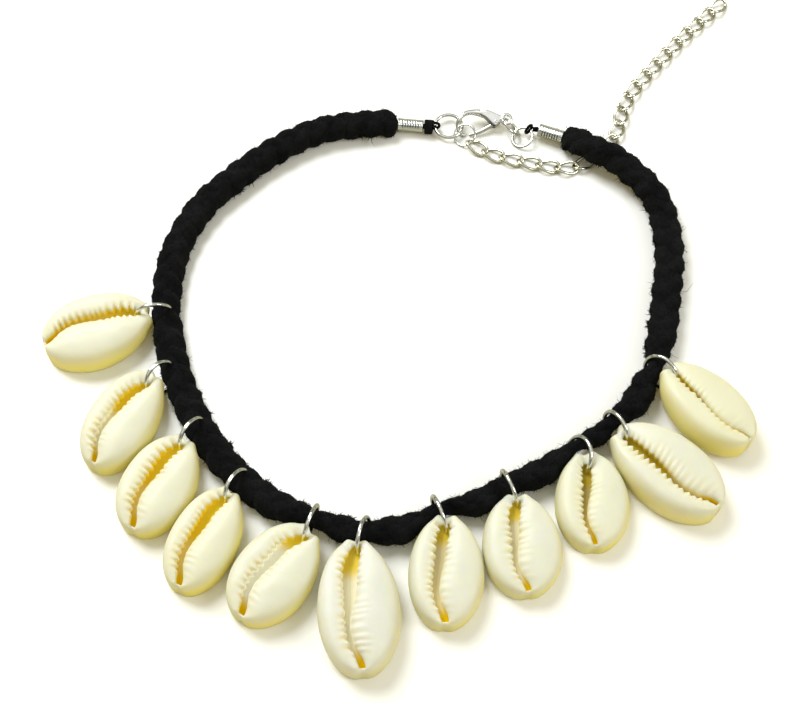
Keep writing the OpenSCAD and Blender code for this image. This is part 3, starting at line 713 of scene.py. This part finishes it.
class CordForm:
    """The envelope of the plaited cord, as the CAD works it out."""

    def __init__(self):
        self.path = Path(CORD_ROUTE, 8)
        count = int(self.path.length / CORD_STEP)
        self.stations = self.path.length * np.arange(count + 1) / count
        self.places = self.path.at(self.stations)
        self.necks = []
        for x, y, facing, _, outside, closed in RINGS:
            middle = np.array([x, y, 0.0])
            n = turn_z(np.array([1.0, 0, 0]), facing)
            s, inner = self.limit(middle + (RING_R - RING_WIRE / 2 - RING_CLEAR) * n)
            inner = (s, inner + (CORD_W / 2 - inner) * closed)
            outer = self.limit(middle + (outside + RING_CLEAR) * n)
            self.necks.append((inner, outer, self.nearest(middle + 0.9 * n), 1 - closed))

    def nearest(self, target):
        gap = np.linalg.norm((self.places - target)[:, :2], axis=1)
        return self.stations[gap.argmin()]

    def limit(self, p):
        """Distance along the cord of the place nearest p, and how far inward of the cord p is."""
        s = self.nearest(p)
        return s, float(self.path.inward(s)[:2] @ (p - self.path.at(s))[:2])

    def at(self, s):
        """Middle of the cord, its sideways direction, and the width, height and fullness there."""
        half = CORD_W / 2
        inner, outer, pinch = np.full(s.shape, half), np.full(s.shape, -half), np.zeros(s.shape)
        for (inner_s, inner_at), (outer_s, outer_at), pinch_s, strength in self.necks:
            inner = np.minimum(inner, half + bell(s - inner_s, INNER_REACH) * (inner_at - half))
            outer = np.maximum(outer, -half + bell(s - outer_s, OUTER_REACH) * (outer_at + half))
            pinch = np.maximum(pinch, strength * bell(s - pinch_s, PINCH_REACH))
        across = self.path.inward(s)
        middle = self.path.at(s) + ((inner + outer) / 2)[:, None] * across
        middle[:, 2] += pinch * (PINCH_HIGH - CORD_H / 2)
        wide = (inner - outer) / CORD_W
        high = 1 - pinch * (1 - PINCH_HIGH / CORD_H)
        full = np.clip((np.minimum(s, self.path.length - s) - TAIL_LEN) / END_ROUNDING, 0, 1)
        return middle, across, wide, high, np.sqrt(1 - (1 - full) ** 2)


def strand_grid(form, k, settings):
    """One strand of the plait: twisted plies squeezed together, following the envelope."""
    n, sides = int(form.path.length / mm(settings.step)), settings.sides
    s = np.linspace(0, form.path.length, n)
    middle, across, wide, high, full = form.at(s)
    turn = (2 * np.pi * (s / PLAIT_PITCH + k / 3))[:, None]
    s = s[:, None]
    a = angles(sides)[None]
    ply = np.abs(np.cos((a + 2 * np.pi * s / mm(settings.ply_pitch)) * settings.plies / 2)) ** 0.7
    soft = 0.5 * noise1(s + 9 * k, 11 + k, 1.9) + 0.5 * noise1(s * 0.7 + a * 2.1, 5 + k, 0.8)
    frayed = np.random.default_rng(70 + k).normal(0, 0.028, (n, sides))
    r = STRAND_R * (1.01 - settings.ply_depth * (1 - ply) + 0.04 * soft + frayed)
    tail = TAIL_R / (CORD_W / 2)
    grow = tail + (1 - tail) * full
    u = (grow * wide)[:, None] * (PLAIT_ACROSS * np.sin(turn) + r * np.cos(a))
    v = (grow * high)[:, None] * (PLAIT_UP * np.sin(2 * turn) + r * np.sin(a))
    pts = middle[:, None] + u[..., None] * across[:, None] + v[..., None] * np.array([0, 0, 1.0])
    pts[..., 2] = np.maximum(pts[..., 2], 0.02)
    return pts


def fuzz_strips(build, pts, inward, count, tufts, seed, length):
    """Short bent fibres that stand off a grid of points, some in tufts along the side that faces inward."""
    rng = np.random.default_rng(seed)
    nu, nv = pts.shape[:2]
    i = rng.integers(1, nu - 2, count)
    j = rng.integers(0, nv, count)
    in_tuft = np.arange(count) < tufts * TUFT_FIBRES
    at = rng.integers(12, nu - 12, tufts)
    edge = np.argmax(np.sum((pts[at] - pts[at].mean(1, keepdims=True)) * inward[at][:, None], -1), 1)
    i[in_tuft] = np.repeat(at, TUFT_FIBRES) + rng.integers(-1, 2, in_tuft.sum())
    j[in_tuft] = (np.repeat(edge, TUFT_FIBRES) + rng.integers(-1, 2, in_tuft.sum())) % nv
    p = pts[i, j]
    du = pts[i + 1, j] - pts[i - 1, j]
    dv = pts[i, (j + 1) % nv] - pts[i, j - 1]
    normal = unit(np.cross(dv, du) + 1e-9)
    centre = pts.mean(1)[i]
    normal *= np.sign(np.sum(normal * (p - centre), -1, keepdims=True) + 1e-9)
    wild = rng.normal(size=(count, 3))
    lean = unit(normal + np.where(in_tuft, 0.5, 0.75)[:, None] * wild)
    bend = unit(0.55 * normal + unit(du) * rng.choice([-1, 1], (count, 1)) + 0.6 * rng.normal(size=(count, 3)))
    reach = (length * rng.lognormal(0, 0.5, count) * np.where(in_tuft, 1.05, 1))[:, None]
    wide = FUZZ_WIDTH / 2 * np.where(in_tuft, 2, 1)[:, None]
    flat = unit(np.cross(lean, rng.normal(size=(count, 3)))) * wide
    rows = []
    for t, thin in ((0, 1), (0.55, 0.85), (1, 0.3)):
        q = p - 0.08 * normal + reach * (t * lean + 0.6 * t * t * (bend - lean))
        q[:, 2] = np.maximum(q[:, 2], 0.03)
        rows.append(np.stack([q - flat * thin, q + flat * thin], 1))
    base = build.count + np.arange(count)[:, None] * 6
    for m in (0, 2):
        build.faces.extend((base + np.array([m, m + 1, m + 3, m + 2])).tolist())
    build.verts.append(np.stack(rows, 1).reshape(-1, 3))
    build.count += count * 6


class CHOKER_PG_cord(bpy.types.PropertyGroup):
    step: a_length("Step", "Distance between rounds of points", 0.00042)
    sides: IntProperty(name="Sides", description="Points round a strand", default=30, min=8)
    plies: IntProperty(name="Plies", description="Twisted plies in a strand", default=6, min=2)
    ply_pitch: a_length("Ply pitch", "Length in which the plies come round", 0.0105)
    ply_depth: FloatProperty(
        name="Ply depth", description="Depth between plies as a share of the strand", default=0.09,
        subtype="FACTOR", min=0, max=1)
    fuzz: IntProperty(name="Fuzz", description="Loose fibres on each strand", default=15000)
    tufts: IntProperty(name="Tufts", description="Tufts of loose fibres on each strand", default=40)
    fuzz_length: a_length("Fuzz length", "Usual length of a loose fibre", 0.0005)
    yarn: a_colour("Yarn", "Colour of the yarn", (0.0085, 0.0094, 0.0098))
    yarn_shade: a_colour("Yarn, shade", "Colour between its fibres", (0.0014, 0.0016, 0.0017))


class CHOKER_OT_cord(bpy.types.Operator):
    """The plaited cord and its fuzz"""

    bl_idname = "choker.cord"
    bl_label = "Plaited Cord"

    def execute(self, context):
        settings = context.scene.choker_cord
        form = CordForm()
        build, fuzz = Builder(), Builder()
        for k in range(3):
            pts = strand_grid(form, k, settings)
            build.grid(pts, caps=True)
            inward = form.path.inward(np.linspace(0, form.path.length, len(pts)))
            fuzz_strips(fuzz, pts, inward, settings.fuzz, settings.tufts, 31 + k, mm(settings.fuzz_length))
        build.make("cord_plait", cord_material(settings), ["braided_cord"], slot="cord")
        fibre = cord_material(settings, "black_fuzz", True)
        fuzz.make("cord_fuzz", fibre, ["braided_cord"], slot="cord", smooth_faces=False)
        return {"FINISHED"}


# -------- findings


class CHOKER_PG_findings(bpy.types.PropertyGroup):
    ring_points: IntProperty(name="Ring points", description="Points round a wire ring", default=84, min=24)
    wire_sides: IntProperty(name="Wire sides", description="Points round a wire", default=18, min=8)
    plate: a_colour("Silver", "Colour of the rings and the lever", (0.8, 0.8, 0.76))
    plate_worn: a_colour("Silver, worn", "Colour where the rings are worn", (0.64, 0.63, 0.55))
    # A lighter copy of the silver: painted light on the clasp body and the sleeves
    bright: a_colour("Bright silver", "Colour of the clasp and sleeves", (0.96, 0.96, 0.95))
    lit_silver_worn: a_colour("Bright silver, worn", "Colour where they are worn", (0.86, 0.86, 0.82))
    # A darker, olive copy of the silver: painted shade for the chain's darker reflections
    chain: a_colour("Chain", "Colour of the chain", (0.82, 0.8, 0.66))
    chain_worn: a_colour("Chain, worn", "Colour where the chain is worn", (0.55, 0.53, 0.36))


class CHOKER_OT_rings(bpy.types.Operator):
    """One round wire ring for each shell"""

    bl_idname = "choker.rings"
    bl_label = "Shell Rings"

    def execute(self, context):
        settings = context.scene.choker_findings
        material = silver_material(settings)
        pts = ring_grid(RING_R, RING_WIRE, settings.ring_points, settings.wire_sides)
        for i, (x, y, facing, lean, _, _) in enumerate(RINGS):
            up = RING_R * math.cos(math.radians(lean)) + RING_WIRE / 2 + RING_LIFT
            build = Builder()
            build.grid(turn_z(turn_x(pts, lean + 90), facing) + np.array([x, y, up]), wrap_u=True, flip=True)
            build.make(f"wire_ring_{i + 1:02d}", material, [f"shell_ring_{i + 1:02d}"])
        return {"FINISHED"}


def sleeve(build, front, move):
    """A ribbed wire end along +X, with a plain band at each end and painted shade, standing for dark
    reflections, in the rib grooves at the angle front.
    """
    x = np.linspace(0, SLEEVE_LEN, 150)
    band = np.minimum(x, SLEEVE_LEN - x)
    rib = np.abs(np.sin(np.pi * SLEEVE_COILS * (x - 0.5) / (SLEEVE_LEN - 1))) ** 0.4
    r = SLEEVE_R - RIB_DEPTH * (1 - rib) * smooth((band - 0.4) / 0.2) - 0.12 * (1 - smooth(band / 0.12)) ** 2
    inner = np.full(12, SLEEVE_R - SLEEVE_WALL)
    notch = np.r_[(1 - rib) * smooth((band - 0.5) / 0.2), inner * 0][:, None]
    x = np.r_[x, np.linspace(SLEEVE_LEN, 0, 12)][:, None]
    r = np.r_[r, inner][:, None]
    a = angles(40)[None]
    pts = np.stack([x + 0 * a, r * np.cos(a), r * np.sin(a)], -1)
    # Painted shade, standing for dark reflections, in the grooves between ribs on one side
    painted_notch_shade = smooth(notch * 2.2) * smooth((np.cos(a - math.radians(front)) - 0.82) / 0.08)
    build.grid(pts, wrap_u=True, move=move, tarnish=painted_notch_shade)


def yarn(build, path, r, closed=False, move=None):
    """Thin two-ply cord."""
    a, s = angles(20)[None], distances(path)[:, None]
    turns = round(s[-1, 0] / YARN_TWIST) / s[-1, 0] if closed else 1 / YARN_TWIST
    rr = r * (0.86 + 0.14 * np.abs(np.cos(a + np.pi * s * turns)))
    build.grid(around(path, rr, 20, closed, (0.13, 0.21, 1)), wrap_u=closed, caps=not closed, move=move)


class CHOKER_OT_cord_ends(bpy.types.Operator):
    """Coiled silver ends of the cord and the black loops that leave them"""

    bl_idname = "choker.cord_ends"
    bl_label = "Cord Ends"

    def execute(self, context):
        # The sleeves take the lighter copy of the silver: painted light
        metal = lit_silver_material(context.scene.choker_findings)
        black = cord_material(context.scene.choker_cord)
        for name, end, facing, front, _, _ in CORD_ENDS:
            build = Builder()
            sleeve(build, front, lambda p: turn_z(p, facing) + end)
            build.make(f"coil_end_{name}", metal, [f"cord_end_{name}"])
        t = angles(60)
        ring = turn_x(np.stack([np.cos(t), np.sin(t), 0 * t], -1), 90)
        for name, end, facing, _, loop, loop_facing in CORD_ENDS:
            ahead = turn_z(np.array([1.0, 0, 0]), facing)
            mouth = end + (SLEEVE_LEN + 0.2) * ahead
            build = Builder()
            yarn(build, turn_z(ring, loop_facing) + loop, LOOP_YARN, closed=True)
            stem = [loop + unit(mouth - loop) * 0.95, (loop + mouth) / 2, mouth, mouth - 1.6 * ahead]
            yarn(build, curve(stem, 10), STEM_YARN)
            if name == "left":
                t = np.linspace(0, 2 * np.pi * WRAP_TURNS, 180)
                wrap = np.stack([WRAP_FROM + WRAP_LEN * t / t[-1], WRAP_R * np.cos(t), WRAP_R * np.sin(t)], -1)
                yarn(build, wrap, WRAP_YARN, move=lambda p: turn_z(p, facing) + mouth)
            build.make(f"loop_{name}", black, [f"end_loop_{name}"], slot="cord")
        return {"FINISHED"}


def tapered(build, rows, sides):
    pts = curve(rows, 10)
    build.grid(around(pts[:, :3], pts[:, 3:], sides), caps=True, move=on_clasp)


def cheek(build, side):
    """Tear-shaped side of the clasp, domed outside and flat towards the lever, with painted shadow along its
    inner edge.
    """
    rim = curve(CHEEK_OUTLINE[-2:] + CHEEK_OUTLINE + CHEEK_OUTLINE[:3], 8)[17:-16][::-1]
    rows = []
    for share, z in CHEEK_DOME:
        xy = CHEEK_MIDDLE + share * (rim - CHEEK_MIDDLE)
        rise = 0.72 + 0.28 * smooth((xy[:, 0] + 4) / 2.6)
        rows.append(np.c_[xy, side * z * rise])
    rows = np.array(rows)
    from_start = rows[..., :2] - PAINTED_SHADOW_START
    along = np.clip(from_start @ PAINTED_SHADOW_RUN / (PAINTED_SHADOW_RUN @ PAINTED_SHADOW_RUN), 0, 1)
    gap = np.linalg.norm(from_start - along[..., None] * PAINTED_SHADOW_RUN, axis=-1)
    # Painted shadow along the inner edge, where the lever meets the cheek
    build.grid(rows, caps=True, flip=side < 0, move=on_clasp, tarnish=0.85 * smooth(1.2 - gap / 0.5))


def pin(build, r, half):
    """Pin with rounded ends."""
    rows = [(r * 0.5, half), (r * 0.85, half - 0.04), (r, half - 0.12)]
    rows = [(rr, -z) for rr, z in rows] + rows[::-1]
    build.grid(turned(rows, 32), caps=True, move=on_clasp)


def lever_eye(build, r, hole, half):
    """Round eye with its hole clear of the pin and its edges eased."""
    rows = [(r - 0.06, -half), (r, 0.06 - half), (r, half - 0.06), (r - 0.06, half), (hole + 0.04, half),
            (hole, half - 0.04), (hole, 0.04 - half), (hole + 0.04, -half)]
    build.grid(turned(rows, 40), wrap_u=True, move=on_clasp)


class CHOKER_OT_clasp(bpy.types.Operator):
    """Lobster clasp, its lever and pin, the large ring and the jump rings"""

    bl_idname = "choker.clasp"
    bl_label = "Clasp"

    def execute(self, context):
        settings = context.scene.choker_findings
        metal = silver_material(settings)
        build = Builder()
        tapered(build, CLASP_ROUTE, 28)
        for side in (-1, 1):
            cheek(build, side)
        eye = ring_grid(TAIL_EYE_R, TAIL_EYE_WIRE, 48, 18) + TAIL_EYE
        build.grid(eye, wrap_u=True, flip=True, move=on_clasp)
        # The body takes the lighter copy of the silver: painted light
        build.make("lobster_body", lit_silver_material(settings), ["clasp_body"])

        build = Builder()
        tapered(build, LEVER_ROUTE, 24)
        lever_eye(build, LEVER_EYE_R, LEVER_HOLE_R, LEVER_EYE_HALF)
        build.make("lobster_lever", metal, ["clasp_lever"], body=LEVER)

        build = Builder()
        pin(build, PIN_R, PIN_HALF)
        build.make("lobster_pin", metal, ["clasp_pin"])

        for name, node, r, wire, tilt, facing, middle in CLASP_RINGS:
            build = Builder()
            pts = ring_grid(r, wire, settings.ring_points, settings.wire_sides)
            build.grid(turn_z(turn_x(pts, tilt), facing) + np.array(middle), wrap_u=True, flip=True)
            build.make(name, metal, [node])
        return {"FINISHED"}


class CHOKER_OT_chain(bpy.types.Operator):
    """Extender chain of twisted curb links"""

    bl_idname = "choker.chain"
    bl_label = "Extender Chain"

    def execute(self, context):
        settings = context.scene.choker_findings
        path = Path(CHAIN_ROUTE, 6)
        build = Builder()
        t = angles(60)
        size = np.array([CHAIN_HALF_LEN, CHAIN_HALF_W, CHAIN_SADDLE])
        link = np.stack([np.cos(t), np.sin(t), np.sin(2 * t)], -1) * size
        pts = around(link, CHAIN_WIRE / 2, 14, closed=True)
        for k in range(CHAIN_LINKS):
            s = CHAIN_START + k * CHAIN_PITCH
            h = path.heading(s)
            pitch, yaw = -math.degrees(math.asin(h[2])), math.degrees(math.atan2(h[1], h[0]))
            build.grid(turn_z(turn(pts, 1, pitch), yaw) + path.at(s), wrap_u=True)
        # The chain takes a darker, olive copy of the silver: painted shade
        build.make("curb_chain", metal_material("chain_shaded_plate", settings.chain_worn, settings.chain),
                   ["extender_chain"])
        return {"FINISHED"}


# -------- stage


class CHOKER_PG_stage(bpy.types.PropertyGroup):
    lens: FloatProperty(name="Lens", description="Focal length of the camera", default=61.9, unit="CAMERA")
    key_power: FloatProperty(name="Key", description="Power of the main light", default=6.75, unit="POWER")
    side_power: FloatProperty(name="Side", description="Power of the second light", default=2.16, unit="POWER")
    fill: FloatProperty(name="Fill", description="Strength of the surrounding light", default=0.55)


class CHOKER_OT_stage(bpy.types.Operator):
    """Floor, soft lights and the camera"""

    bl_idname = "choker.stage"
    bl_label = "Stage"

    def execute(self, context):
        settings = context.scene.choker_stage
        scene = context.scene
        mesh = bpy.data.meshes.new("table_top")
        corners = [(x * FLOOR_HALF, y * FLOOR_HALF, 0) for x, y in ((-1, -1), (1, -1), (1, 1), (-1, 1))]
        mesh.from_pydata(corners, [], [(0, 1, 2, 3)])
        mesh.materials.append(floor_material())
        floor = bpy.data.objects.new("table_top", mesh)
        scene.collection.objects.link(floor)

        scene.view_settings.view_transform = "Standard"
        self.world(scene, settings)
        self.area(scene, "key_light", (-0.33, 0.38, 0.62), 0.5, settings.key_power)
        self.area(scene, "side_light", (0.6, -0.2, 0.5), 0.35, settings.side_power)

        camera = bpy.data.cameras.new("photo_camera")
        camera.lens = settings.lens
        camera.sensor_width = 36.0
        camera.clip_start = 0.01
        view = bpy.data.objects.new("photo_camera", camera)
        view.location = ((CAMERA_PLACE + SET_OUT) * MM).tolist()
        view.rotation_euler = (math.radians(90 - CAMERA_DOWN), 0, 0)
        scene.collection.objects.link(view)
        scene.camera = view
        return {"FINISHED"}

    def area(self, scene, name, place, size, power):
        """Round soft light that faces the middle of the table."""
        light = bpy.data.lights.new(name, "AREA")
        light.shape = "DISK"
        light.size = size
        light.energy = power
        light.color = DAYLIGHT
        obj = bpy.data.objects.new(name, light)
        obj.location = place
        scene.collection.objects.link(obj)
        obj.rotation_euler = (-obj.location.normalized()).to_track_quat("-Z", "Y").to_euler()

    def world(self, scene, settings):
        """Bright white room; mirrors see darker bands in it, as metal in a small studio does."""
        world = bpy.data.worlds.new("studio")
        world.use_nodes = True
        tree = world.node_tree
        place = add(tree, "ShaderNodeTexCoord").outputs["Generated"]
        up = add(tree, "ShaderNodeSeparateXYZ", {"Vector": place}).outputs["Z"]
        wave = noise(tree, place, 1.6, 1.0)
        height = maths(tree, "ADD", up, maths(tree, "MULTIPLY", wave, 0.25))
        path = add(tree, "ShaderNodeLightPath")
        colour = mix_rgb(tree, path.outputs["Is Glossy Ray"], ramp(tree, up, DOME), ramp(tree, height, BANDS))
        colour = mix_rgb(tree, path.outputs["Is Camera Ray"], colour, (1.7, 1.7, 1.65))
        fill(tree, tree.nodes["Background"], {"Color": colour, "Strength": settings.fill})
        scene.world = world


# -------- add-on


STEPS = ("stage", "cord", "shells", "rings", "cord_ends", "clasp", "chain")


class CHOKER_PT_panel(bpy.types.Panel):
    """Builds the choker piece by piece"""

    bl_idname = "CHOKER_PT_panel"
    bl_label = "Cowrie Shell Choker"
    bl_space_type = "VIEW_3D"
    bl_region_type = "UI"
    bl_category = "Choker"

    def draw(self, context):
        for step in STEPS:
            self.layout.operator(f"choker.{step}")
        for group in GROUPS:
            box = self.layout.box()
            settings = getattr(context.scene, group)
            for name in settings.bl_rna.properties.keys():
                if name not in ("rna_type", "name"):
                    box.prop(settings, name)


GROUPS = {
    "choker_shells": CHOKER_PG_shells, "choker_cord": CHOKER_PG_cord,
    "choker_findings": CHOKER_PG_findings, "choker_stage": CHOKER_PG_stage,
}
CLASSES = (
    *GROUPS.values(), CHOKER_OT_stage, CHOKER_OT_cord, CHOKER_OT_shells, CHOKER_OT_rings,
    CHOKER_OT_cord_ends, CHOKER_OT_clasp, CHOKER_OT_chain, CHOKER_PT_panel,
)


def register():
    for cls in CLASSES:
        bpy.utils.register_class(cls)
    for name, group in GROUPS.items():
        setattr(bpy.types.Scene, name, PointerProperty(type=group))


def unregister():
    for name in GROUPS:
        delattr(bpy.types.Scene, name)
    for cls in reversed(CLASSES):
        bpy.utils.unregister_class(cls)


def main():
    register()
    for step in STEPS:
        getattr(bpy.ops.choker, step)()


if __name__ == "__main__":
    main()
